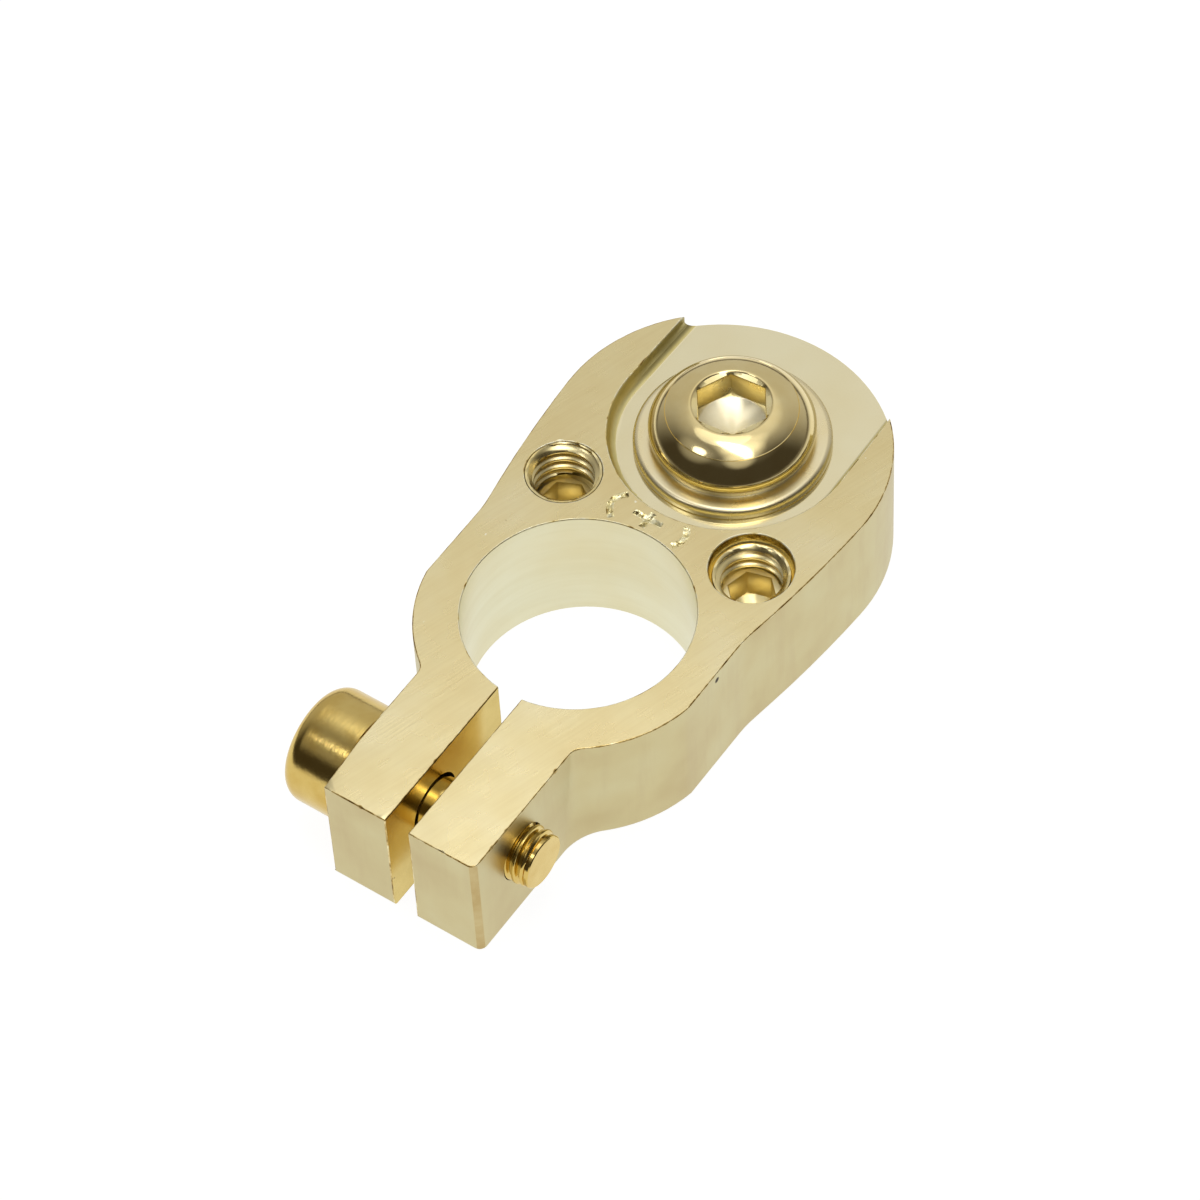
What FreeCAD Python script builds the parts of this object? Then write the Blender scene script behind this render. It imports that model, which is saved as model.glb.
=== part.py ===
import FreeCAD, Part
import math
import os

# Battery terminal clamp, millimetres, +Z up.
# The origin is on the axis of the post bore, in the plane of the flat underside.
# +X runs along the clamp towards the round head, and the ears lie towards -X.

# The casting
body_thickness = 11.7
post_bore_radius = 9.5

ring_wall = 3.4
ring_setback = 0.6
ring_flat_drop = 0.25
neck_from_post = 4.9

head_from_post = 20.1
head_radius = 14.35
flank_meets_head_deg = 93.0

ear_end_from_post = 24.8
ear_thickness = 6.25
slot_width = 2.2
right_ear_rounding = 0.7
notch_rounding_top = 1.2
notch_rounding_foot = 5.0
neck_rounding = 12.0
underside_rounding = 0.4

# The shallow pocket in the head, open at the far end
pocket_from_head = 2.15
pocket_wall = 4.05
pocket_mouth_narrowing = 0.3
pocket_depth = 1.45
pocket_floor_fillet = 0.8

# Screw threads: radius over the thread and the gap to the plain tapped wall
thread_gap = 0.05
terminal_thread_radius = 4.0
set_thread_radius = 3.0
bolt_thread_radius = 2.5

# The button-head screw and its washer
terminal_screw_length = 10.0
terminal_tip_chamfer = 0.35
button_radius = 6.9
button_rim = 0.8
button_height = 3.4
button_crown_radius = 3.4
button_bulge = 0.62
button_socket_flats = 5.5
button_socket_depth = 2.6
washer_radius = 8.2
washer_thickness = 1.6
washer_flat_radius = 5.6
washer_rim_height = 0.7
washer_rim_rounding = 0.15
washer_bore_gap = 0.2

# The two cable screws and the blind cable bores that they press into
set_screw_from_post = 11.2
set_screw_inset = 5.2
set_screw_length = 5.0
set_screw_chamfer = 0.4
set_socket_flats = 3.5
set_socket_depth = 2.4
left_screw_sunk = 3.7
right_screw_sunk = 3.1
left_mouth_radius = 3.2
left_mouth_depth = 0.2
right_mouth_radius = 3.5
right_mouth_depth = 0.8
cable_bore_radius = 3.0
cable_bore_height = 5.2
cable_bore_past_screw = 0.2
set_hole_past_bore = 0.3

# The clamp bolt across the ears
bolt_from_ear_end = 6.15
bolt_height = 6.75
bolt_head_radius = 5.0
bolt_head_length = 5.5
bolt_head_rounding = 1.5
bolt_length = 16.7
bolt_tip_chamfer = 0.2
bolt_hole_gap = 0.25
bolt_socket_flats = 4.0
bolt_socket_depth = 2.5
drill_point_deg = 118.0

# Sizes and places that follow from those above
ring_radius = post_bore_radius + ring_wall
ring_flat_half = ring_radius - ring_flat_drop
ear_half_width = slot_width / 2 + ear_thickness
notch_from_post = ring_setback + math.sqrt(ring_radius ** 2 - ear_half_width ** 2)
head_end = head_from_post + head_radius
pocket_from_post = head_from_post + pocket_from_head
pocket_radius = head_radius - pocket_wall
pocket_mouth_half = pocket_radius - pocket_mouth_narrowing
pocket_floor = body_thickness - pocket_depth
washer_top = pocket_floor + washer_thickness
set_screw_side = head_radius - set_screw_inset
set_hole_floor = cable_bore_height - cable_bore_radius - set_hole_past_bore
bolt_from_post = ear_end_from_post - bolt_from_ear_end
clear = 1.0

X = FreeCAD.Vector(1, 0, 0)
Y = FreeCAD.Vector(0, 1, 0)
Z = FreeCAD.Vector(0, 0, 1)


def at(x, y, z):
    return FreeCAD.Vector(x, y, z)


def on_circle(cx, radius, degrees):
    a = math.radians(degrees)
    return at(cx + radius * math.cos(a), radius * math.sin(a), 0)


def half_chord(radius, offset):
    return math.sqrt(radius ** 2 - offset ** 2)


def revolved(points, place, direction):
    # Turns a profile of (radius, height) points round an axis through place.
    wire = Part.makePolygon([at(r, 0, h) for r, h in points + points[:1]])
    solid = Part.Face(wire).revolve(at(0, 0, 0), Z, 360)
    solid.Placement = FreeCAD.Placement(place, FreeCAD.Rotation(Z, direction))
    return solid


def drill_tip(radius):
    return radius / math.tan(math.radians(drill_point_deg / 2))


def hex_socket(flats, depth, turn_deg):
    # Hexagon cut going down from z = 0, with the cone that its drill leaves.
    r = flats / math.sqrt(3)
    corners = [on_circle(0, r, turn_deg + 60 * i) for i in range(7)]
    hexagon = Part.Face(Part.makePolygon(corners)).extrude(Z * (depth + clear))
    hexagon.translate(Z * -depth)
    core = flats / 2
    point = revolved([(0, -depth - drill_tip(core)), (core, -depth), (0, -depth)], at(0, 0, 0), Z)
    return hexagon.fuse(point)


def body_outline():
    # Half of the outline from the ear end to the head, then its mirror image.
    ear = at(-ear_end_from_post, ear_half_width, 0)
    notch = at(-notch_from_post, ear_half_width, 0)
    flat = at(-ring_setback - half_chord(ring_radius, ring_flat_half), ring_flat_half, 0)
    neck = at(neck_from_post, ring_flat_half, 0)
    join = on_circle(head_from_post, head_radius, flank_meets_head_deg)
    ring_angle = math.degrees(math.atan2(notch.y, notch.x + ring_setback))
    flat_angle = math.degrees(math.atan2(flat.y, flat.x + ring_setback))
    ring_mid = on_circle(-ring_setback, ring_radius, (ring_angle + flat_angle) / 2)

    # The flank is an arc from the neck that runs on smoothly into the head.
    outward = on_circle(0, 1.0, flank_meets_head_deg)
    step = join - neck
    flank_radius = step.dot(step) / (2 * outward.dot(step))
    centre = join - outward * flank_radius
    middle = (neck + join) * 0.5 - centre
    flank_mid = centre + middle.normalize() * abs(flank_radius)

    upper = [
        Part.makeLine(ear, notch),
        Part.Arc(notch, ring_mid, flat).toShape(),
        Part.makeLine(flat, neck),
        Part.Arc(neck, flank_mid, join).toShape(),
    ]
    lower = [edge.mirror(at(0, 0, 0), Y) for edge in upper]
    far = at(head_end, 0, 0)
    head = Part.Arc(join, far, at(join.x, -join.y, 0)).toShape()
    ear_end = Part.makeLine(at(ear.x, -ear.y, 0), ear)
    edges = Part.sortEdges(upper + [head] + lower + [ear_end])[0]
    return Part.Face(Part.Wire(edges))


def head_pocket():
    # Round pocket whose straight sides run out through the far end of the head.
    side = at(pocket_from_post, pocket_radius, pocket_floor)
    back = at(pocket_from_post - pocket_radius, 0, pocket_floor)
    mouth = at(head_end + clear, pocket_mouth_half, pocket_floor)
    side_low = at(side.x, -side.y, side.z)
    mouth_low = at(mouth.x, -mouth.y, mouth.z)
    wall = [
        Part.makeLine(mouth, side),
        Part.Arc(side, back, side_low).toShape(),
        Part.makeLine(side_low, mouth_low),
    ]
    edges = wall + [Part.makeLine(mouth_low, mouth)]
    tool = Part.Face(Part.Wire(edges)).extrude(Z * (pocket_depth + clear))
    low = [e for e in tool.Edges if abs(e.BoundBox.ZMax - pocket_floor) < 1e-6]
    low = [e for e in low if e.BoundBox.XMin < head_end]
    return tool.makeFillet(pocket_floor_fillet, low)


def cable_bore(side):
    # Blind bore from the far end, just past the set screw, with a drill point.
    r = cable_bore_radius
    start = set_screw_from_post - set_thread_radius - cable_bore_past_screw
    length = head_end - start
    points = [(0, -drill_tip(r)), (r, 0), (r, length), (0, length)]
    return revolved(points, at(start, side, cable_bore_height), X)


def set_screw_hole(side, mouth_radius, mouth_depth):
    r = set_thread_radius + thread_gap
    top = body_thickness
    slope = mouth_radius - r
    points = [
        (0, set_hole_floor),
        (r, set_hole_floor),
        (r, top - mouth_depth - slope),
        (mouth_radius, top - mouth_depth),
        (mouth_radius, top + clear),
        (0, top + clear),
    ]
    return revolved(points, at(set_screw_from_post, side, 0), Z)


def bolt_holes():
    # Plain hole in the left ear and tapped hole in the right ear.
    place = at(-bolt_from_post, 0, bolt_height)
    reach = ear_half_width + clear
    plain = Part.makeCylinder(bolt_thread_radius + bolt_hole_gap, reach, place, Y)
    tapped = Part.makeCylinder(bolt_thread_radius + thread_gap, reach, place, -Y)
    return plain.fuse(tapped)


def upright_edges(body, x):
    tall = [e for e in body.Edges if e.BoundBox.ZLength > body_thickness / 2]
    return [e for e in tall if abs(e.CenterOfMass.x - x) < 0.01]


def make_clamp_body():
    body = body_outline().extrude(Z * body_thickness)
    right_ear_corner = [e for e in upright_edges(body, -ear_end_from_post) if e.CenterOfMass.y < 0]
    body = body.makeFillet(right_ear_rounding, right_ear_corner)
    body = body.makeFillet(neck_rounding, upright_edges(body, neck_from_post))
    # The ear runs into the ring with a hollow that widens towards the underside.
    for edge in upright_edges(body, -notch_from_post):
        body = body.makeFillet(notch_rounding_foot, notch_rounding_top, [edge])
    body = body.makeFillet(underside_rounding, [e for e in body.Edges if e.BoundBox.ZMax < 0.001])

    bore = Part.makeCylinder(post_bore_radius, body_thickness + 2 * clear, at(0, 0, -clear))
    slot = Part.makeBox(
        ear_end_from_post + clear, slot_width, body_thickness + 2 * clear,
        at(-ear_end_from_post - clear, -slot_width / 2, -clear),
    )
    terminal_hole = Part.makeCylinder(
        terminal_thread_radius + thread_gap, body_thickness + 2 * clear, at(pocket_from_post, 0, -clear)
    )
    cuts = [bore, slot, head_pocket(), terminal_hole, bolt_holes()]
    cuts.append(set_screw_hole(set_screw_side, left_mouth_radius, left_mouth_depth))
    cuts.append(set_screw_hole(-set_screw_side, right_mouth_radius, right_mouth_depth))
    cuts.append(cable_bore(set_screw_side))
    cuts.append(cable_bore(-set_screw_side))
    for tool in cuts:
        body = body.cut(tool)
    return body


def make_clamp_bolt():
    # Drawn along +Z with the head up, then laid along +Y on the left ear.
    head = Part.makeCylinder(bolt_head_radius, bolt_head_length)
    rim = [e for e in head.Edges if e.BoundBox.ZMin > bolt_head_length - 0.001]
    head = head.makeFillet(bolt_head_rounding, rim)
    r = bolt_thread_radius
    tip = r - bolt_tip_chamfer
    shank = revolved(
        [(0, 0), (r, 0), (r, bolt_tip_chamfer - bolt_length), (tip, -bolt_length), (0, -bolt_length)],
        at(0, 0, 0), Z,
    )
    socket = hex_socket(bolt_socket_flats, bolt_socket_depth, 0)
    socket.translate(Z * bolt_head_length)
    bolt = head.fuse(shank).cut(socket).removeSplitter()
    bolt.Placement = FreeCAD.Placement(
        at(-bolt_from_post, ear_half_width, bolt_height), FreeCAD.Rotation(Z, Y)
    )
    return bolt


def make_terminal_screw():
    # Button head drawn up from z = 0, where it bears on the washer.
    rim = at(button_radius, 0, button_rim)
    crown = at(button_crown_radius, 0, button_height)
    across = (crown - rim).normalize()
    middle = (rim + crown) * 0.5 + at(across.z, 0, -across.x) * button_bulge
    edges = [
        Part.makeLine(at(0, 0, 0), at(button_radius, 0, 0)),
        Part.makeLine(at(button_radius, 0, 0), rim),
        Part.Arc(rim, middle, crown).toShape(),
        Part.makeLine(crown, at(0, 0, button_height)),
        Part.makeLine(at(0, 0, button_height), at(0, 0, 0)),
    ]
    head = Part.Face(Part.Wire(edges)).revolve(at(0, 0, 0), Z, 360)
    r = terminal_thread_radius
    tip = r - terminal_tip_chamfer
    low = -terminal_screw_length
    shank = revolved(
        [(0, 0), (r, 0), (r, low + terminal_tip_chamfer), (tip, low), (0, low)], at(0, 0, 0), Z
    )
    socket = hex_socket(button_socket_flats, button_socket_depth, 35)
    socket.translate(Z * button_height)
    flat = button_socket_flats / 2
    low_dish = button_height - (button_crown_radius - flat)
    dish = revolved(
        [(0, button_height), (button_crown_radius, button_height), (flat, low_dish), (0, low_dish)],
        at(0, 0, 0), Z,
    )
    screw = head.fuse(shank).cut(socket).cut(dish)
    screw.translate(at(pocket_from_post, 0, washer_top))
    return screw


def make_terminal_washer():
    # Crowned washer: flat where the button head bears on it, then a shallow cone down to the rim.
    hole = terminal_thread_radius + washer_bore_gap
    washer = revolved(
        [
            (hole, 0),
            (washer_radius, 0),
            (washer_radius, washer_rim_height),
            (washer_flat_radius, washer_thickness),
            (hole, washer_thickness),
        ],
        at(0, 0, 0), Z,
    )
    rim = [e for e in washer.Edges if abs(e.CenterOfMass.z - washer_rim_height) < 0.001]
    rim = [e for e in rim if e.BoundBox.XLength > washer_radius]
    washer = washer.makeFillet(washer_rim_rounding, rim)
    washer.translate(at(pocket_from_post, 0, pocket_floor))
    return washer


def make_set_screw(side, sunk):
    r = set_thread_radius
    c = set_screw_chamfer
    length = set_screw_length
    stud = revolved(
        [(0, 0), (r - c, 0), (r, -c), (r, c - length), (r - c, -length), (0, -length)], at(0, 0, 0), Z
    )
    screw = stud.cut(hex_socket(set_socket_flats, set_socket_depth, 35))
    screw.translate(at(set_screw_from_post, side, body_thickness - sunk))
    return screw


parts = {
    "clamp_body": make_clamp_body(),
    "clamp_bolt": make_clamp_bolt(),
    "terminal_screw": make_terminal_screw(),
    "terminal_washer": make_terminal_washer(),
    "set_screw_left": make_set_screw(set_screw_side, left_screw_sunk),
    "set_screw_right": make_set_screw(-set_screw_side, right_screw_sunk),
}

os.makedirs("parts", exist_ok=True)
for name, shape in parts.items():
    shape.exportStep("parts/" + name + ".step")
    print(name, "valid", shape.isValid(), "solids", len(shape.Solids), "mm3", round(shape.Volume, 1))
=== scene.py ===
import bpy, bmesh
import math
from mathutils import Matrix, Vector, noise


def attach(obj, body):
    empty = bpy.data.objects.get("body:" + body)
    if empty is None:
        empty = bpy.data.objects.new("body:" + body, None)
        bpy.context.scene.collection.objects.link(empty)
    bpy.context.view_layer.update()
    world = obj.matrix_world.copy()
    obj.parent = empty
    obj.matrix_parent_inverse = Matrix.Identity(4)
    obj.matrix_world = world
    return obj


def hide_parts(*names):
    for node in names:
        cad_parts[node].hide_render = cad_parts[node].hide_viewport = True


# Battery terminal clamp. Lengths are written in millimetres and multiplied by MM.
# The origin is the post bore's axis on the flat underside, +X runs to the round head.
MM = 0.001
UP = Vector((0, 0, 1))

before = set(bpy.data.objects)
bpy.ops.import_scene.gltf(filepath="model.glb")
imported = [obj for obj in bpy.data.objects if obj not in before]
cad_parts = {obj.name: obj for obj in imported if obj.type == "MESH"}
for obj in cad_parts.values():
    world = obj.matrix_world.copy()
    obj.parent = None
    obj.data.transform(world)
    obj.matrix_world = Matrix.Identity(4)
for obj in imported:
    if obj.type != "MESH":
        bpy.data.objects.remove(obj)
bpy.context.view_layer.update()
for leftover in [o for o in bpy.data.objects if o.type == "MESH" and o.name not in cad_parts]:
    bpy.data.objects.remove(leftover)

# Sizes shared with the solids
TOP = 11.7
POST_BORE_RADIUS = 9.5
POCKET_FLOOR = 10.25
POCKET_RADIUS = 10.3
WASHER_TOP = 11.85
TERMINAL = Vector((22.25, 0, 0))
SET_SCREW_X = 11.2
SET_SCREW_Y = 9.15
SET_SCREW_PITCH = 1.0
SET_SCREW_LENGTH = 5
LEFT_SCREW_TOP = 8.0
RIGHT_SCREW_TOP = 8.6
RIGHT_MOUTH_RADIUS = 3.5
RIGHT_MOUTH_DEPTH = 0.8
BOLT = Vector((-18.65, 0, 6.75))
EAR_HALF_WIDTH = 7.35
SLOT_HALF_WIDTH = 1.1

# Marks and wear, measured on the photo
PLUS_STROKES = [[(9.88, 0.6), (10.86, 0.62), (11.58, 0.5)], [(10.92, -0.72), (10.86, 0.64), (10.92, 2.04)]]
BRACKETS = [((12.1, 3.35), (10.85, 4.12), (9.38, 3.25)), ((11.88, -2.42), (10.75, -2.97), (9.62, -2.5))]
STROKE_RADIUS = 0.5
STROKE_LIFT = 0.4
MARK_REACH = 0.3
EDGE_BEVEL = 0.1
EDGE_CHIPS = [
    (-24.8, -4.2, 0.34), (-22.3, -7.35, 0.26), (-24.8, 3.5, 0.24), (-20.4, -7.35, 0.24), (-13.7, -7.35, 0.3),
    (-18.0, 1.1, 0.22), (13.6, 11.2, 0.4),
]
EAR_END = -24.8
EAR_WORN_FROM = -19.5
EAR_WORN_BY = 0.37
# Painted shade of a small hollow on the side beside the ring: where the dark spot sits, its full radius and
# where it has faded out
HOLLOW_SHADE_CENTRE = (0.94, -12.65, 10.85)
HOLLOW_SHADE_RADIUS = 0.2
HOLLOW_SHADE_FADED = 0.32


# Node helpers
class Finish:
    """A metal finish that is built up from a few procedural layers."""

    def __init__(self, name, roughness):
        self.material = bpy.data.materials.new(name)
        self.material.use_nodes = True
        self.tree = self.material.node_tree
        self.shader = self.tree.nodes["Principled BSDF"]
        self.shader.inputs["Metallic"].default_value = 1.0
        self.shader.inputs["Roughness"].default_value = roughness
        self.place = self.tree.nodes.new("ShaderNodeTexCoord").outputs["Object"]

    def node(self, kind, **inputs):
        made = self.tree.nodes.new(kind)
        for key, value in inputs.items():
            self.link(value, made.inputs[key.replace("_", " ")])
        return made

    def link(self, value, socket):
        if isinstance(value, bpy.types.NodeSocket):
            self.tree.links.new(value, socket)
        else:
            socket.default_value = value

    def grained(self, per_metre, turn_deg=0):
        """Object coordinates with their own number of grains to the metre along each axis."""
        made = self.node("ShaderNodeMapping", Vector=self.place)
        made.vector_type = "TEXTURE"
        made.inputs["Scale"].default_value = [1 / n for n in per_metre]
        made.inputs["Rotation"].default_value = (0, 0, math.radians(turn_deg))
        return made.outputs["Vector"]

    def noise(self, vector, scale, detail=3.0, rough=0.5):
        made = self.node("ShaderNodeTexNoise", Vector=vector, Scale=scale, Detail=detail, Roughness=rough)
        return made.outputs["Fac"]

    def ramp(self, fac, *stops):
        made = self.node("ShaderNodeValToRGB", Fac=fac)
        ramp = made.color_ramp
        while len(ramp.elements) < len(stops):
            ramp.elements.new(0.5)
        for element, (place, value) in zip(ramp.elements, stops):
            element.position = place
            element.color = (*value, 1) if isinstance(value, tuple) else (value, value, value, 1)
        return made.outputs["Color"]

    def mixed(self, fac, a, b, blend="MIX"):
        made = self.tree.nodes.new("ShaderNodeMix")
        made.data_type = "RGBA"
        made.blend_type = blend
        self.link(fac, made.inputs["Factor"])
        self.link(a if isinstance(a, bpy.types.NodeSocket) else (*a, 1), made.inputs["A"])
        self.link(b if isinstance(b, bpy.types.NodeSocket) else (*b, 1), made.inputs["B"])
        return made.outputs["Result"]

    def speckled(self, colour, scale, share, speck):
        """Scatters small specks, more of them with a larger share."""
        grain = self.noise(self.place, scale, 2, 0.6)
        return self.mixed(self.ramp(grain, (0.76 - share, 0.0), (0.79 - share, 1.0)), colour, speck)

    def bumped(self, height, depth_mm, strength=1.0):
        made = self.node("ShaderNodeBump", Height=height, Strength=strength, Distance=depth_mm * MM)
        before = self.shader.inputs["Normal"]
        if before.is_linked:
            self.link(before.links[0].from_socket, made.inputs["Normal"])
        self.link(made.outputs["Normal"], before)

    def coloured(self, colour):
        self.link(colour, self.shader.inputs["Base Color"])

    def roughened(self, fac, low, high):
        made = self.node("ShaderNodeMapRange", Value=fac, To_Min=low, To_Max=high)
        self.link(made.outputs["Result"], self.shader.inputs["Roughness"])


def srgb(r, g, b):
    return tuple(((c / 255 + 0.055) / 1.055) ** 2.4 if c > 10 else c / 255 / 12.92 for c in (r, g, b))


# Finishes
def sanded_top():
    f = Finish("sanded_top_plating", 0.26)
    patches = f.noise(f.place, 110, 3, 0.5)
    stops = ((0.3, srgb(228, 211, 160)), (0.5, srgb(233, 219, 171)), (0.7, srgb(236, 225, 184)))
    colour = f.ramp(patches, *stops)
    lines = f.noise(f.grained((160, 4200, 400), -18), 1.0, 4, 0.7)
    colour = f.mixed(f.ramp(lines, (0.34, 0.14), (0.58, 0.0)), colour, srgb(208, 184, 126))
    # Near-white specks scattered over the sanded top: painted glints.
    colour = f.speckled(colour, 900, 0.0, srgb(250, 246, 222))
    f.coloured(f.speckled(colour, 760, 0.0, srgb(150, 122, 66)))
    f.bumped(lines, 0.006)
    f.bumped(f.noise(f.place, 260, 3), 0.012)
    f.roughened(f.noise(f.place, 400, 3), 0.22, 0.34)
    return f.material


def cast_side():
    """Soft, slightly uneven plating, with the shade of one small hollow beside the ring painted on as a dark
    spot.
    """
    f = Finish("cast_side_plating", 0.3)
    patches = f.noise(f.place, 130, 3, 0.5)
    stops = ((0.3, srgb(208, 192, 146)), (0.5, srgb(218, 206, 160)), (0.7, srgb(224, 216, 174)))
    colour = f.ramp(patches, *stops)
    streaks = f.noise(f.grained((700, 700, 90)), 1.0, 3, 0.6)
    colour = f.mixed(f.ramp(streaks, (0.3, 0.16), (0.5, 0.0)), colour, srgb(196, 172, 132))
    away = f.node("ShaderNodeVectorMath", Vector=f.place)
    away.operation = "DISTANCE"
    away.inputs[1].default_value = [c * MM for c in HOLLOW_SHADE_CENTRE]
    # Painted shade: dark brown inside the radius, fading out by the faded radius
    hollow_shade = f.node(
        "ShaderNodeMapRange", Value=away.outputs["Value"],
        From_Min=HOLLOW_SHADE_RADIUS * MM, From_Max=HOLLOW_SHADE_FADED * MM, To_Min=1.0, To_Max=0.0,
    )
    f.coloured(f.mixed(hollow_shade.outputs["Result"], colour, srgb(54, 40, 20)))
    f.bumped(streaks, 0.003)
    f.bumped(f.noise(f.place, 190, 2), 0.04)
    f.roughened(patches, 0.32, 0.42)
    return f.material


def bore_wall_painted_light():
    """Wall of the post bore in a paler copy of the plating, painted light that brightens the bore, with
    faint rings left by the boring bar.
    """
    f = Finish("bore_wall_painted_light_plating", 0.3)
    patches = f.noise(f.place, 120, 3, 0.5)
    colour = f.ramp(patches, (0.3, srgb(236, 228, 190)), (0.7, srgb(240, 238, 210)))
    rings = f.noise(f.grained((60, 60, 900)), 1.0, 3, 0.6)
    f.coloured(f.mixed(f.ramp(rings, (0.34, 0.16), (0.6, 0.0)), colour, srgb(214, 204, 156)))
    f.bumped(rings, 0.004)
    f.bumped(f.noise(f.place, 160, 2), 0.03)
    return f.material


def slot_painted_shade():
    # A deeper, more saturated copy of the plating for the slot's faces: painted shade of the narrow slot.
    f = Finish("slot_painted_shade", 0.22)
    patches = f.noise(f.place, 300, 4, 0.6)
    colour = f.ramp(patches, (0.34, srgb(214, 188, 102)), (0.66, srgb(230, 206, 124)))
    f.coloured(f.speckled(colour, 1300, 0.02, srgb(130, 98, 46)))
    f.bumped(patches, 0.012)
    return f.material


def pocket_wall():
    f = Finish("pocket_wall_plating", 0.4)
    patches = f.noise(f.place, 260, 4, 0.6)
    f.coloured(f.ramp(patches, (0.34, srgb(220, 206, 140)), (0.66, srgb(232, 220, 160))))
    f.bumped(patches, 0.01)
    return f.material


def mouth_painted_reflections():
    """Uneven glossy wall of the wide mouth over the right set screw, with dark brown and pale patches
    painted on as reflections.
    """
    f = Finish("mouth_painted_reflections_gold", 0.14)
    patches = f.noise(f.place, 420, 3, 0.6)
    stops = ((0.36, srgb(150, 122, 60)), (0.5, srgb(222, 200, 122)), (0.66, srgb(244, 230, 172)))
    f.coloured(f.ramp(patches, *stops))
    f.bumped(f.noise(f.place, 620, 3), 0.3)
    return f.material


def tan_corner_band():
    """Darker tan band down the rounded corner of the right ear."""
    f = Finish("tan_corner_band", 0.34)
    patches = f.noise(f.place, 500, 4, 0.6)
    f.coloured(f.ramp(patches, (0.34, srgb(200, 176, 122)), (0.66, srgb(214, 196, 146))))
    f.bumped(patches, 0.01)
    return f.material


def pocket_plating():
    """Smooth floor that mirrors the washer's rim."""
    f = Finish("pocket_plating", 0.1)
    patches = f.noise(f.place, 140, 3, 0.5)
    f.coloured(f.ramp(patches, (0.34, srgb(236, 226, 188)), (0.66, srgb(240, 233, 200))))
    f.bumped(f.noise(f.place, 500, 4), 0.003)
    f.bumped(f.noise(f.place, 180, 3), 0.006)
    f.roughened(patches, 0.08, 0.16)
    return f.material


def edge_wear_and_painted_light():
    # Bevels of the top edges and upright corners: wear together with painted light, the dark brown flecks
    # painted shade and the near-white flecks painted glints.
    f = Finish("edge_wear_and_painted_light", 0.3)
    flecks = f.noise(f.place, 700, 4, 0.7)
    dark = ((0.32, srgb(110, 84, 42)), (0.44, srgb(176, 146, 84)))
    light = ((0.54, srgb(226, 202, 140)), (0.64, srgb(252, 242, 200)))
    f.coloured(f.ramp(flecks, *dark, *light))
    f.bumped(f.noise(f.place, 2200, 3), 0.02)
    return f.material


def edge_painted_highlight():
    # Painted highlight: near-white flecks, with a few darker ones, on the bevels of the bore's, pocket's and
    # right mouth's rims and of the open end.
    f = Finish("edge_painted_highlight", 0.5)
    flecks = f.noise(f.place, 520, 3, 0.6)
    stops = ((0.34, srgb(170, 132, 62)), (0.42, srgb(246, 230, 166)), (0.54, srgb(255, 250, 222)))
    f.coloured(f.ramp(flecks, *stops))
    f.bumped(f.noise(f.place, 1800, 2), 0.05)
    return f.material


def marks_painted_glints():
    """Rough metal in the bottom of the marks, painted mostly near white as painted glints, with dark flecks
    of painted shade.
    """
    f = Finish("marks_painted_glints", 0.28)
    flecks = f.noise(f.place, 1500, 3, 0.6)
    stops = ((0.34, srgb(130, 104, 50)), (0.42, srgb(248, 234, 172)), (0.6, srgb(255, 250, 214)))
    f.coloured(f.ramp(flecks, *stops))
    f.bumped(f.noise(f.place, 2200, 2), 0.2)
    return f.material


def polished_gold(name, dark, light, low=0.06, high=0.13):
    f = Finish(name, low)
    patches = f.noise(f.place, 260, 4, 0.6)
    f.coloured(f.ramp(patches, (0.34, dark), (0.66, light)))
    f.bumped(f.noise(f.place, 1200, 3), 0.003)
    f.roughened(patches, low, high)
    return f.material


def turned_gold():
    """Satin gold of the cross bolt's head, with fine lines turned round its axis."""
    f = Finish("bolt_head_gold", 0.2)
    patches = f.noise(f.place, 300, 4, 0.6)
    f.coloured(f.ramp(patches, (0.34, srgb(214, 182, 100)), (0.66, srgb(228, 202, 126))))
    lines = f.noise(f.grained((500, 6000, 500)), 1.0, 3, 0.7)
    f.bumped(lines, 0.006)
    f.bumped(f.noise(f.place, 1500, 2), 0.012)
    f.roughened(patches, 0.12, 0.2)
    return f.material


# Paler copy of the plating for the tapped holes and their threads: painted light that keeps the deep holes
# bright.
HOLE_PAINTED_LIGHT = polished_gold("tapped_hole_painted_light_gold", srgb(248, 228, 160), srgb(252, 238, 186), 0.2, 0.28)
CASTING_FINISHES = {
    "top": sanded_top(),
    "side": cast_side(),
    "slot": slot_painted_shade(),
    "pocket wall": pocket_wall(),
    "pocket floor": pocket_plating(),
    "bore": bore_wall_painted_light(),
    "hole": HOLE_PAINTED_LIGHT,
    "mouth": mouth_painted_reflections(),
    "corner": tan_corner_band(),
    "edge wear and painted light": edge_wear_and_painted_light(),
    "edge painted highlight": edge_painted_highlight(),
    "mark": marks_painted_glints(),
}
SCREW_FINISH = polished_gold("screw_gold", srgb(234, 214, 156), srgb(242, 226, 174))
THREAD_FINISH = polished_gold("thread_gold", srgb(222, 192, 110), srgb(236, 212, 138), 0.1, 0.18)
# Paler copies of the button screw's gold for its hex socket: painted light on the walls and a near-white
# painted highlight on the cone.
HEX_WALL_PAINTED_LIGHT = polished_gold("hex_wall_painted_light_gold", srgb(250, 232, 170), srgb(252, 240, 190), 0.22, 0.32)
HEX_CONE_PAINTED_HIGHLIGHT = polished_gold("hex_cone_painted_highlight_gold", srgb(246, 234, 196), srgb(250, 244, 218), 0.2, 0.3)
SET_SCREW_FINISH = polished_gold("set_screw_gold", srgb(248, 230, 170), srgb(252, 240, 192), 0.28, 0.38)
WASHER_FINISH = polished_gold("washer_gold", srgb(244, 230, 186), srgb(248, 238, 202), 0.24, 0.32)
HEAD_FINISH = turned_gold()


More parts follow.
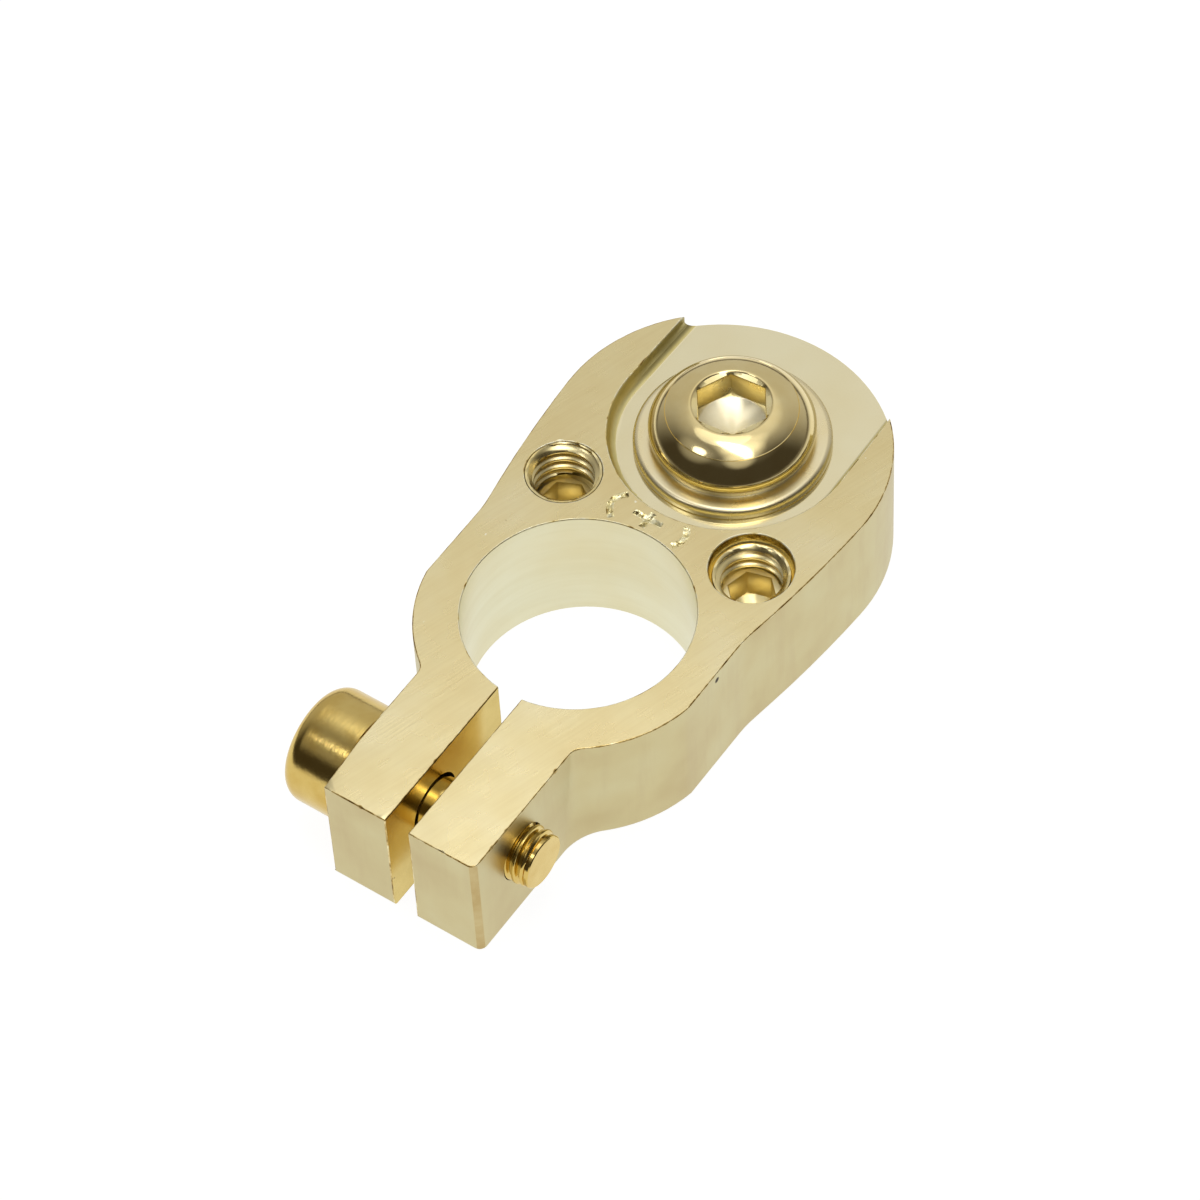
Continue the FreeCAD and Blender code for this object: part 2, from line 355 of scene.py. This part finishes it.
# Mesh helpers
def finished(bm, name, body, slot, *finishes, smooth_deg=32, weighted=False):
    mesh = bpy.data.meshes.new(name)
    for face in bm.faces:
        face.smooth = True
    bm.to_mesh(mesh)
    bm.free()
    for finish in finishes:
        mesh.materials.append(finish)
    mesh.set_sharp_from_angle(angle=math.radians(smooth_deg))
    piece = bpy.data.objects.new(name, mesh)
    bpy.context.scene.collection.objects.link(piece)
    if weighted:
        normals = piece.modifiers.new("even_shading", "WEIGHTED_NORMAL")
        normals.keep_sharp = True
        normals.weight = 80
    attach(piece, body)
    return piece


def spun(bm, profile, steps=96, start_deg=0):
    """Turns (radius, height) points round the Z axis and closes the seam."""
    a = math.radians(start_deg)
    verts = [bm.verts.new((r * math.cos(a) * MM, r * math.sin(a) * MM, z * MM)) for r, z in profile]
    edges = [bm.edges.new(pair) for pair in zip(verts, verts[1:])]
    bmesh.ops.spin(
        bm, geom=verts + edges, cent=(0, 0, 0), axis=UP, angle=math.tau, steps=steps, use_merge=True,
    )
    bmesh.ops.remove_doubles(bm, verts=bm.verts, dist=1e-7)


def arc(cx, cz, radius, start_deg, end_deg, count):
    points = []
    for i in range(count + 1):
        a = math.radians(start_deg + (end_deg - start_deg) * i / count)
        points.append((cx + radius * math.cos(a), cz + radius * math.sin(a)))
    return points


def bent(start, middle, end, count):
    """A smooth curve from start to end that passes through middle."""
    a, b, c = Vector(start), Vector(middle), Vector(end)
    pull = 2 * b - (a + c) / 2
    shares = [i / count for i in range(count + 1)]
    return [a * (1 - t) ** 2 + pull * 2 * t * (1 - t) + c * t ** 2 for t in shares]


def rim_at(bm, height):
    return [e for e in bm.edges if e.is_boundary and all(abs(v.co.z - height * MM) < 2e-6 for v in e.verts)]


def drawn_in(bm, rim, shape, height):
    """Extrudes a rim and puts its new points on shape(angle), a radius, at a height."""
    new = bmesh.ops.extrude_edge_only(bm, edges=rim)["geom"]
    for v in [g for g in new if isinstance(g, bmesh.types.BMVert)]:
        a = math.atan2(v.co.y, v.co.x)
        r = shape(a) * MM
        v.co = Vector((r * math.cos(a), r * math.sin(a), height * MM))
    return [g for g in new if isinstance(g, bmesh.types.BMEdge)]


def hexagon(flats, turn_deg):
    def radius(a):
        part = (a - math.radians(turn_deg)) % (math.pi / 3) - math.pi / 6
        return flats / 2 / math.cos(part)
    return radius


def socket(bm, rim, flats, turn_deg, top, depth, chamfer=0.0):
    """Hex socket from a round rim: walls, a flat ring and the cone that the drill leaves."""
    flat = flats / 2
    rim = drawn_in(bm, rim, hexagon(flats + chamfer, turn_deg), top)
    rim = drawn_in(bm, rim, hexagon(flats, turn_deg), top - chamfer)
    rim = drawn_in(bm, rim, hexagon(flats, turn_deg), top - chamfer - depth)
    rim = drawn_in(bm, rim, lambda a: flat * 0.97, top - chamfer - depth - 0.03)
    tip = top - chamfer - depth - flat * 0.6
    drawn_in(bm, rim, lambda a: 1e-4, tip)
    low = [v for v in bm.verts if abs(v.co.z - tip * MM) < 1e-7]
    bmesh.ops.pointmerge(bm, verts=low, merge_co=(0, 0, tip * MM))


def thread(bm, core, crest, pitch, low, high, start, steps=40, lead_in=0.3):
    """Wound ridge with steep flanks and a rounded crest that passes height start behind the axis, cut off at
    low and high. A crest smaller than its core makes the thread of a hole."""
    base = start - pitch * (math.ceil((start - low) / pitch) + 1)
    turns = math.ceil((high - base) / pitch) + 1
    sunk = core - 0.1 * (crest - core) / abs(crest - core)
    ridge = [t / 100 for t in (-49, -39, -32, -26, -20, -12, 0, 12, 20, 26, 32, 39, 49)]
    swell = [0.5 + 0.5 * math.cos(math.tau * t) for t in ridge]
    points = [(core + (crest - core) * s * s * (3 - 2 * s), t * pitch) for s, t in zip(swell, ridge)]
    points = [(sunk, -0.49 * pitch)] + points + [(sunk, 0.49 * pitch)]
    verts = [bm.verts.new((-r * MM, 0, (base + z) * MM)) for r, z in points]
    edges = [bm.edges.new(pair) for pair in zip(verts, verts[1:] + verts[:1])]
    before = set(bm.verts) - set(verts)
    bmesh.ops.spin(
        bm, geom=verts + edges, cent=(0, 0, 0), axis=UP, dvec=(0, 0, pitch / steps * MM),
        angle=math.tau * turns, steps=steps * turns,
    )
    made = [v for v in bm.verts if v not in before]
    bmesh.ops.holes_fill(bm, edges=[e for e in bm.edges if e.is_boundary and e.verts[0] in made])
    for v in made:
        z = v.co.z / MM
        r = v.co.xy.length / MM
        if crest > core:
            limit = crest - lead_in + max(0.0, min(z - low, high - z))
            new_r = min(r, max(limit, sunk))
        else:
            limit = crest + max(0.0, lead_in - max(0.0, high - z))
            new_r = max(r, min(limit, sunk))
        new_z = min(max(z, low + 0.01), high - 0.01)
        if new_z != z:
            new_r = sunk if crest > core else max(new_r, sunk)
        v.co = Vector((v.co.x * new_r / r, v.co.y * new_r / r, new_z * MM))


def closed(bm):
    bmesh.ops.remove_doubles(bm, verts=bm.verts, dist=1e-7)
    bmesh.ops.dissolve_degenerate(bm, edges=bm.edges, dist=1e-7)
    bmesh.ops.recalc_face_normals(bm, faces=bm.faces)


def moved(bm, place, lay=None):
    if lay:
        bmesh.ops.transform(bm, verts=bm.verts, matrix=lay)
    bmesh.ops.translate(bm, verts=bm.verts, vec=Vector(place) * MM)


def plain_object(name, data):
    made = bpy.data.objects.new(name, data)
    bpy.context.scene.collection.objects.link(made)
    return made


def as_seen(piece):
    """The mesh of an object with its modifiers and its curve thickness worked in."""
    bpy.context.view_layer.update()
    return bpy.data.meshes.new_from_object(piece.evaluated_get(bpy.context.evaluated_depsgraph_get()))


# The casting
def engraved(bm):
    """Cuts the plus beside the bore and its two brackets as round-bottomed grooves into the top face."""
    lines = bpy.data.curves.new("mark_lines", "CURVE")
    lines.dimensions = "3D"
    lines.bevel_depth = STROKE_RADIUS * MM
    lines.bevel_resolution = 5
    lines.use_fill_caps = True
    for stroke in PLUS_STROKES + [bent(*ends, 10) for ends in BRACKETS]:
        spline = lines.splines.new("POLY")
        spline.points.add(len(stroke) - 1)
        for point, (x, y) in zip(spline.points, stroke):
            point.co = (x * MM, y * MM, (TOP + STROKE_LIFT) * MM, 1)
    drawn = plain_object("mark_lines", lines)
    cutter = plain_object("mark_cutter", as_seen(drawn))
    plain = bpy.data.meshes.new("unmarked")
    bm.to_mesh(plain)
    block = plain_object("unmarked", plain)
    cut = block.modifiers.new("marks", "BOOLEAN")
    cut.operation = "DIFFERENCE"
    cut.solver = "EXACT"
    cut.use_self = True
    cut.object = cutter
    marked = as_seen(block)
    bm.clear()
    bm.from_mesh(marked)
    for used in (drawn, cutter, block):
        bpy.data.objects.remove(used)


def chip_depth(x, y):
    """How far the worn top edge is eaten away at a place on the outline."""
    depth = 0.03 * max(0.0, noise.noise(Vector((x, y, 0)) * 3.1))
    for chip_x, chip_y, size in EDGE_CHIPS:
        depth += 0.4 * size * max(0.0, 1 - (math.hypot(x - chip_x, y - chip_y) / size) ** 2)
    return depth


def near_chip(edge):
    middle = (edge.verts[0].co + edge.verts[1].co) / 2 / MM
    reach = edge.calc_length() / MM / 2
    return any(math.hypot(middle.x - x, middle.y - y) < size + reach for x, y, size in EDGE_CHIPS)


def in_marks(point):
    return 8.9 < point.x < 12.8 and -3.6 < point.y < 4.8


def on_top_edge(edge):
    return all(abs(v.co.z - TOP * MM) < 1e-6 for v in edge.verts)


def upright(edge):
    a, b = (v.co for v in edge.verts)
    return abs(a.z - b.z) > 1.2 * MM and (a - b).xy.length < 0.01 * MM


def in_groove(face):
    centre = face.calc_center_median() / MM
    return in_marks(centre) and -MARK_REACH < centre.z - TOP < -0.003


def worn_rims(bm):
    """The crisp top edges and the upright corners, without the edges of the marks."""
    crisp = [e for e in bm.edges if e.is_manifold and e.calc_face_angle() > math.radians(30)]
    rims = [e for e in crisp if on_top_edge(e) or (upright(e) and e.calc_face_angle() > math.radians(60))]
    return [e for e in rims if not any(in_groove(f) for f in e.link_faces)]


def worn_ear(bm):
    """Draws the left ear's outer face in a little towards its end, as on the photographed clamp."""
    bmesh.ops.bisect_plane(
        bm, geom=bm.verts[:] + bm.edges[:] + bm.faces[:], dist=1e-6,
        plane_co=(EAR_WORN_FROM * MM, 0, 0), plane_no=(1, 0, 0),
    )
    for v in bm.verts:
        x, y = v.co.x / MM, v.co.y / MM
        if x < EAR_WORN_FROM and y > EAR_HALF_WIDTH - 0.5:
            v.co.y -= EAR_WORN_BY * (EAR_WORN_FROM - x) / (EAR_WORN_FROM - EAR_END) * MM


def part_of_casting(face, edge_faces):
    """Which finish a face of the casting has."""
    centre = face.calc_center_median() / MM
    from_post = centre.xy.length
    from_terminal = (centre - TERMINAL).xy.length
    from_hole = min((centre.xy - Vector((SET_SCREW_X, y))).length for y in (SET_SCREW_Y, -SET_SCREW_Y))
    # The bevels get painted light: a painted highlight on the rims of the open end, the pocket, the right
    # mouth and the bore, and wear with painted shade and glints on the other edges.
    if face in edge_faces:
        open_end = centre.x > TERMINAL.x and abs(centre.y) < POCKET_RADIUS
        bright = open_end or abs(from_terminal - POCKET_RADIUS) < 0.15
        bright = bright or from_hole < RIGHT_MOUTH_RADIUS + 0.3 or from_post < POST_BORE_RADIUS + 0.2
        return "edge painted highlight" if bright else "edge wear and painted light"
    if face.normal.z > 0.99 and centre.z > TOP - 0.01:
        return "top"
    on_bridge = from_post > POST_BORE_RADIUS + 0.02 and from_terminal > POCKET_RADIUS
    if in_marks(centre) and TOP - MARK_REACH < centre.z < TOP and on_bridge:
        return "mark"
    if face.normal.z > 0.99 and abs(centre.z - POCKET_FLOOR) < 0.01:
        return "pocket floor"
    open_end = centre.x > TERMINAL.x and abs(centre.y) < POCKET_RADIUS + 0.02
    in_pocket = open_end or from_terminal < POCKET_RADIUS + 0.02
    if centre.z > POCKET_FLOOR and in_pocket and from_terminal > 6:
        return "pocket wall"
    if from_hole < RIGHT_MOUTH_RADIUS + 0.05:
        return "mouth" if centre.y < 0 and centre.z > TOP - RIGHT_MOUTH_DEPTH else "hole"
    if centre.x < -24.3 and centre.y < -6.85 and abs(face.normal.z) < 0.5:
        return "corner"
    if abs(centre.y) < SLOT_HALF_WIDTH + 0.01 and centre.x < -POST_BORE_RADIUS and abs(face.normal.y) > 0.9:
        return "slot"
    return "bore" if from_post < POST_BORE_RADIUS + 0.05 else "side"


def make_casting():
    bm = bmesh.new()
    bm.from_mesh(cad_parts["clamp_body"].data)
    bmesh.ops.remove_doubles(bm, verts=bm.verts, dist=0.03 * MM)
    bmesh.ops.dissolve_limit(bm, angle_limit=math.radians(1), verts=bm.verts, edges=bm.edges)
    engraved(bm)
    worn_ear(bm)
    for shortest, cuts in ((6.0, 15), (2.0, 4), (0.8, 1)):
        long = [e for e in worn_rims(bm) if on_top_edge(e) and e.calc_length() > shortest * MM]
        bmesh.ops.subdivide_edges(bm, edges=long, cuts=cuts)
    for _ in range(3):
        long = [e for e in worn_rims(bm) if on_top_edge(e) and e.calc_length() > 0.16 * MM and near_chip(e)]
        bmesh.ops.subdivide_edges(bm, edges=long, cuts=1)
    made = bmesh.ops.bevel(
        bm, geom=worn_rims(bm), offset=EDGE_BEVEL * MM, offset_type="OFFSET", affect="EDGES",
        segments=2, profile=0.5, material=-1, clamp_overlap=False,
    )
    edge_faces = set(made["faces"])
    bm.normal_update()
    for v in {v for f in edge_faces for v in f.verts if v.co.z > (TOP - 0.2) * MM}:
        depth = chip_depth(v.co.x / MM, v.co.y / MM) * MM
        outward = Vector((v.normal.x, v.normal.y, 0)).normalized()
        if v.co.z > (TOP - 0.01) * MM:
            v.co -= outward * depth
        elif v.co.z < (TOP - 0.07) * MM:
            v.co.z -= depth
        else:
            v.co -= v.normal * depth * 0.6
    names = list(CASTING_FINISHES)
    for face in bm.faces:
        face.material_index = names.index(part_of_casting(face, edge_faces))
    finishes = CASTING_FINISHES.values()
    casting = finished(bm, "casting", "body", "casting", *finishes, smooth_deg=35, weighted=True)
    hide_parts("clamp_body")


def make_hole_threads():
    """The threads in the set-screw holes, half a pitch out of step with the screws' own."""
    left = ("left", SET_SCREW_Y, TOP - 0.05, LEFT_SCREW_TOP)
    right = ("right", -SET_SCREW_Y, TOP - RIGHT_MOUTH_DEPTH - 0.1, RIGHT_SCREW_TOP)
    for side, y, top, screw_top in (left, right):
        bm = bmesh.new()
        start = screw_top + SET_SCREW_PITCH / 2
        thread(bm, 3.05, 2.5, SET_SCREW_PITCH, 8.25, top, start, steps=64, lead_in=0.5)
        closed(bm)
        moved(bm, (SET_SCREW_X, y, 0))
        finished(bm, "hole_thread_" + side, "body", "casting", HOLE_PAINTED_LIGHT)


# The screws
def make_set_screw(side, y, top, turn_deg):
    bm = bmesh.new()
    foot = top - SET_SCREW_LENGTH
    spun(bm, [(0, foot), (2.1, foot), (2.39, foot + 0.3), (2.39, top - 0.2), (2.28, top)], 96, turn_deg)
    socket(bm, rim_at(bm, top), 3.5, turn_deg, top, 2.5, 0.14)
    thread(bm, 2.39, 2.99, SET_SCREW_PITCH, foot, top, foot)
    closed(bm)
    moved(bm, (SET_SCREW_X, y, 0))
    screw = finished(bm, side + "_stud", side + "_set_screw", "screws", SET_SCREW_FINISH)
    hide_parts("set_screw_" + side)


def make_terminal_screw():
    """Button head with a fine turned line round its dome."""
    low_dome = arc(3.05, -0.73, 4.14, 21.6, 53.4, 14)
    line = [(5.48, 2.57)]
    high_dome = arc(3.05, -0.73, 4.14, 54.6, 85.2, 14)
    bm = bmesh.new()
    foot = [(0, -10), (3.3, -10), (3.3, 0), (6.75, 0), (6.9, 0.12), (6.9, 0.75)]
    spun(bm, foot + low_dome[1:] + line + high_dome + [(3.34, 3.38), (3.26, 3.3)], 96, 35)
    socket(bm, rim_at(bm, 3.3), 5.5, 35, 3.2, 2.3, 0.1)
    # The socket's walls and cone take the paler copies, with painted light on the walls and the painted
    # highlight on the cone.
    for face in bm.faces:
        centre = face.calc_center_median() / MM
        if centre.xy.length < 3.25 and centre.z > 0:
            face.material_index = 2 if centre.z < 0.8 else 1
    thread(bm, 3.25, 3.99, 1.25, -10, -1.2, -10)
    closed(bm)
    moved(bm, TERMINAL + Vector((0, 0, WASHER_TOP)))
    finishes = (SCREW_FINISH, HEX_WALL_PAINTED_LIGHT, HEX_CONE_PAINTED_HIGHLIGHT)
    screw = finished(bm, "button_screw", "screw", "screws", *finishes, smooth_deg=30)
    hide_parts("terminal_screw")


def make_washer():
    """Washer with a flat satin flange round the raised middle that carries the button head."""
    rim = arc(7.7, 0.46, 0.5, 0, 90, 12)
    raised = [(6.65, 0.96), (6.6, 1.0), (6.6, 1.55), (6.55, 1.6), (4.3, 1.6)]
    bm = bmesh.new()
    spun(bm, [(4.3, 0), (8.1, 0), (8.2, 0.1)] + rim + raised + [(4.2, 1.5), (4.2, 0.1), (4.3, 0)], 128)
    closed(bm)
    moved(bm, TERMINAL + Vector((0, 0, POCKET_FLOOR)))
    washer = finished(bm, "crowned_washer", "washer", "washer", WASHER_FINISH)
    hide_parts("terminal_washer")


def make_clamp_bolt():
    """Drawn head up. The shank is plain under the head and threaded from the slot's far side."""
    bm = bmesh.new()
    rounding = arc(3.5, 4.0, 1.5, 0, 90, 12)
    tip = [(0, -16.7), (2.22, -16.7), (2.3, -16.62), (2.3, -16.35), (2.12, -16.2)]
    shank = [(2.12, -8.35), (2.3, -8.28), (2.49, -8.1), (2.49, 0)]
    spun(bm, tip + shank + [(4.95, 0), (5.0, 0.05)] + rounding + [(2.45, 5.5)], 96, 0)
    socket(bm, rim_at(bm, 5.5), 4.0, 0, 5.42, 2.4, 0.12)
    thread(bm, 2.1, 2.49, 0.8, -16.3, -8.25, -16.2, steps=48, lead_in=0.25)
    closed(bm)
    for face in bm.faces:
        face.material_index = int(face.calc_center_median().z < -0.01 * MM)
    moved(bm, BOLT + Vector((0, EAR_HALF_WIDTH, 0)), Matrix.Rotation(math.radians(-90), 4, "X"))
    bolt = finished(bm, "cross_bolt", "bolt", "screws", HEAD_FINISH, THREAD_FINISH)
    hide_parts("clamp_bolt")


make_casting()
make_hole_threads()
make_set_screw("left", SET_SCREW_Y, LEFT_SCREW_TOP, 55)
make_set_screw("right", -SET_SCREW_Y, RIGHT_SCREW_TOP, 45)
make_terminal_screw()
make_washer()
make_clamp_bolt()


# Floor, light and camera
def towards(azimuth, elevation):
    a, e = math.radians(azimuth), math.radians(elevation)
    return Vector((math.cos(e) * math.cos(a), math.cos(e) * math.sin(a), math.sin(e)))


class Surroundings:
    """Short helpers for the floor's and the world's nodes."""

    def __init__(self, tree):
        self.tree = tree
        tree.nodes.clear()

    def node(self, kind, *inputs, **settings):
        made = self.tree.nodes.new(kind)
        for key, value in settings.items():
            setattr(made, key, value)
        for socket, value in zip(made.inputs, inputs):
            if isinstance(value, bpy.types.NodeSocket):
                self.tree.links.new(value, socket)
            elif value is not None:
                socket.default_value = value
        return made.outputs[0] if made.outputs else made

    def seen_by(self, *rays):
        path = self.tree.nodes.new("ShaderNodeLightPath")
        total = path.outputs[rays[0]]
        for ray in rays[1:]:
            total = self.node("ShaderNodeMath", total, path.outputs[ray], operation="MAXIMUM")
        return total

    def mixed(self, fac, a, b):
        made = self.tree.nodes.new("ShaderNodeMix")
        made.data_type = "RGBA"
        for value, socket in ((fac, made.inputs["Factor"]), (a, made.inputs["A"]), (b, made.inputs["B"])):
            if isinstance(value, bpy.types.NodeSocket):
                self.tree.links.new(value, socket)
            else:
                socket.default_value = value
        return made.outputs["Result"]


# Soft bright areas of the room: azimuth, elevation, degrees to the full and to the faded edge, brightness.
ROOM_DARK = (0.055, 0.046, 0.032)
ROOM_LIGHTS = [
    ("back wall", 28, 12, 25, 92, (0.52, 0.51, 0.485)),
    ("back window", 20, 67, 6, 28, (0.26, 0.257, 0.248)),
    ("upper room", 0, 90, 8, 55, (0.15, 0.146, 0.137)),
    ("ceiling", -70, 84, 8, 24, (0.5, 0.49, 0.46)),
    ("front window", -115, 73, 8, 24, (0.6, 0.59, 0.56)),
    ("front shelf", -135, 55, 6, 20, (0.46, 0.45, 0.41)),
    ("left window", 145, 48, 5, 25, (0.26, 0.25, 0.225)),
]


def make_world():
    world = bpy.data.worlds.new("studio")
    bpy.context.scene.world = world
    world.use_nodes = True
    w = Surroundings(world.node_tree)
    place = w.tree.nodes.new("ShaderNodeTexCoord").outputs["Generated"]
    tone = w.node("ShaderNodeVectorMath", ROOM_DARK, (1, 1, 1), operation="MULTIPLY")
    for name, azimuth, elevation, full, faded, colour in ROOM_LIGHTS:
        facing = w.node("ShaderNodeVectorMath", place, towards(azimuth, elevation), operation="DOT_PRODUCT")
        limits = [math.cos(math.radians(angle)) for angle in (faded, full)]
        shape = w.node(
            "ShaderNodeMapRange", facing.node.outputs["Value"], *limits,
            interpolation_type="SMOOTHSTEP", label=name,
        )
        tone = w.node("ShaderNodeVectorMath", shape, colour, tone, operation="MULTIPLY_ADD")
    tone = w.mixed(w.seen_by("Is Camera Ray", "Is Transmission Ray"), tone, (1, 1, 1, 1))
    w.node("ShaderNodeOutputWorld", w.node("ShaderNodeBackground", tone))


def make_floor():
    bm = bmesh.new()
    bmesh.ops.create_grid(bm, x_segments=1, y_segments=1, size=2.0)
    mesh = bpy.data.meshes.new("floor")
    bm.to_mesh(mesh)
    bm.free()
    floor = plain_object("floor", mesh)
    material = bpy.data.materials.new("pale_floor")
    material.use_nodes = True
    f = Surroundings(material.node_tree)
    matt = f.node("ShaderNodeBsdfDiffuse", (0.85, 0.85, 0.85, 1))
    white = f.node("ShaderNodeEmission", (1, 1, 1, 1), 1.2)
    # Seen in reflections the floor is a painted pool of light: bright within 8 cm of the object, fading
    # beyond 20 cm to painted shade, a dim brown.
    soft = f.node("ShaderNodeEmission", (1.0, 0.985, 0.93, 1), 1.0)
    far_floor_painted_shade = f.node("ShaderNodeEmission", (0.16, 0.145, 0.12, 1), 1.0)
    place = f.tree.nodes.new("ShaderNodeTexCoord").outputs["Object"]
    away = f.node("ShaderNodeVectorMath", place, operation="LENGTH").node.outputs["Value"]
    far = f.node("ShaderNodeMapRange", away, 0.08, 0.2)
    shown = f.node("ShaderNodeMixShader", 0.78, matt, white)
    mirrored = f.node("ShaderNodeMixShader", far, f.node("ShaderNodeMixShader", 0.85, matt, soft), far_floor_painted_shade)
    look = f.node("ShaderNodeMixShader", f.seen_by("Is Camera Ray", "Is Transmission Ray"), matt, shown)
    look = f.node("ShaderNodeMixShader", f.seen_by("Is Glossy Ray"), look, mirrored)
    f.node("ShaderNodeOutputMaterial", look)
    mesh.materials.append(material)


def lamp(name, azimuth, elevation, distance, width, height, radiance, aim=(5, 0, 8)):
    """An oval softbox that faces the object. Its power follows from how bright it looks."""
    light = bpy.data.lights.new(name, "AREA")
    light.shape = "ELLIPSE"
    light.size = width
    light.size_y = height
    light.energy = radiance * math.pi * math.pi / 4 * width * height
    away = towards(azimuth, elevation)
    obj = plain_object(name, light)
    obj.location = Vector(aim) * MM + away * distance
    obj.rotation_euler = away.to_track_quat("Z", "Y").to_euler()


# The photograph's camera: where it stands, how it is rolled, and its focal length in widths of the picture.
CAMERA_AZIMUTH = -142.684
CAMERA_ELEVATION = 52.553
CAMERA_ROLL = -3.636
CAMERA_DISTANCE = 435.9
CAMERA_AIM = Vector((9.107, 4.666, 0))
SENSOR_WIDTH = 36
FOCAL_WIDTHS = 5279.67 / 1200


def make_camera():
    roll = math.radians(CAMERA_ROLL)
    away = towards(CAMERA_AZIMUTH, CAMERA_ELEVATION)
    right = (-away).cross(UP).normalized()
    up = right.cross(-away)
    across = right * math.cos(roll) + up * math.sin(roll)
    upward = up * math.cos(roll) - right * math.sin(roll)
    camera = bpy.data.cameras.new("photo_camera")
    camera.sensor_width = SENSOR_WIDTH
    camera.lens = SENSOR_WIDTH * FOCAL_WIDTHS
    camera.clip_start = 0.01
    camera.clip_end = 20
    obj = plain_object("photo_camera", camera)
    turn = Matrix((across, upward, away)).transposed().to_4x4()
    obj.matrix_world = Matrix.Translation((CAMERA_AIM + away * CAMERA_DISTANCE) * MM) @ turn
    bpy.context.scene.camera = obj


make_floor()
make_world()
lamp("lamp_left", 147, 56, 0.9, 0.22, 0.22, 2.2)
lamp("lamp_front", -112, 80, 0.9, 0.25, 0.8, 1.9)
lamp("lamp_ears", 37, 52, 0.2, 0.09, 0.09, 0.6, aim=(-63, -41, 12))
make_camera()
bpy.context.scene.view_settings.view_transform = "Standard"
